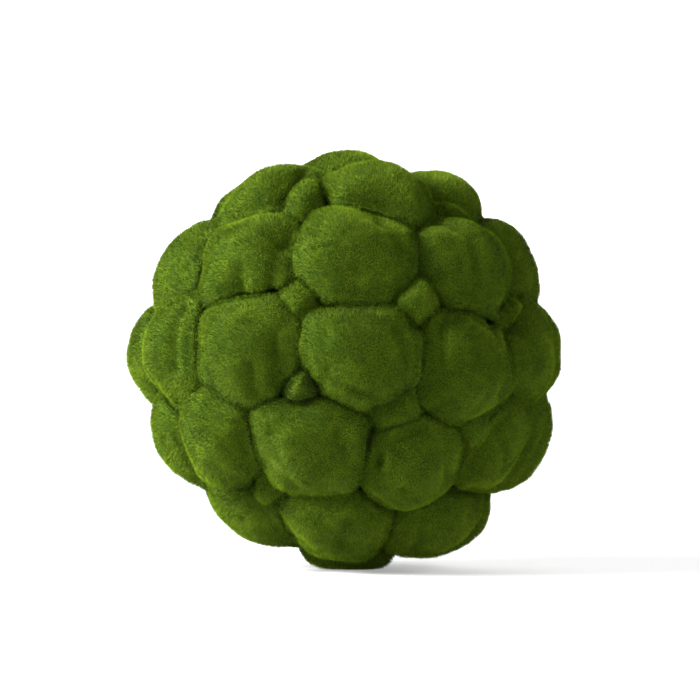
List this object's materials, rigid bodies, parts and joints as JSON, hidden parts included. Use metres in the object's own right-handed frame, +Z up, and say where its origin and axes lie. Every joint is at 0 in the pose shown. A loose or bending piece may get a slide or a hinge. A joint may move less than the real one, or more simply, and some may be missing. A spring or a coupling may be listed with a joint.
{
  "type": "moss ball",
  "caption": "Decorative ball of plump flocked moss cushions packed edge to edge over a round core, standing on a flattened base.",
  "frame": {"origin": "on the floor, under the ball's centre, in the middle of the base cushion's flat underside", "axes": "+Z up through the crown cushion; -Y is the front, the side that faces the camera; +X is to the viewer's right"},
  "size_m": [0.2025, 0.1993, 0.1949],
  "materials": {
    "moss": "matte",
    "core": "matte"
  },
  "bodies": {
    "root": {"base_cushion": "moss", "belt_cushion_1": "moss", "belt_cushion_10": "moss", "belt_cushion_11": "moss", "belt_cushion_2": "moss", "belt_cushion_3": "moss", "belt_cushion_4": "moss", "belt_cushion_5": "moss", "belt_cushion_6": "moss", "belt_cushion_7": "moss", "belt_cushion_8": "moss", "belt_cushion_9": "moss", "core_ball": "core", "crown_cushion": "moss", "filler_1": "moss", "filler_10": "moss", "filler_11": "moss", "filler_12": "moss", "filler_13": "moss", "filler_14": "moss", "filler_2": "moss", "filler_3": "moss", "filler_4": "moss", "filler_5": "moss", "filler_6": "moss", "filler_7": "moss", "filler_8": "moss", "filler_9": "moss", "lower_cushion_1": "moss", "lower_cushion_10": "moss", "lower_cushion_2": "moss", "lower_cushion_3": "moss", "lower_cushion_4": "moss", "lower_cushion_5": "moss", "lower_cushion_6": "moss", "lower_cushion_7": "moss", "lower_cushion_8": "moss", "lower_cushion_9": "moss", "top_cushion_1": "moss", "top_cushion_2": "moss", "top_cushion_3": "moss", "top_cushion_4": "moss", "top_cushion_5": "moss", "top_cushion_6": "moss", "under_cushion_1": "moss", "under_cushion_2": "moss", "under_cushion_3": "moss", "under_cushion_4": "moss", "under_cushion_5": "moss", "under_cushion_6": "moss", "under_cushion_7": "moss", "upper_cushion_1": "moss", "upper_cushion_2": "moss", "upper_cushion_3": "moss", "upper_cushion_4": "moss", "upper_cushion_5": "moss", "upper_cushion_6": "moss", "upper_cushion_7": "moss", "upper_cushion_8": "moss", "upper_cushion_9": "moss"}
  },
  "joints": []
}
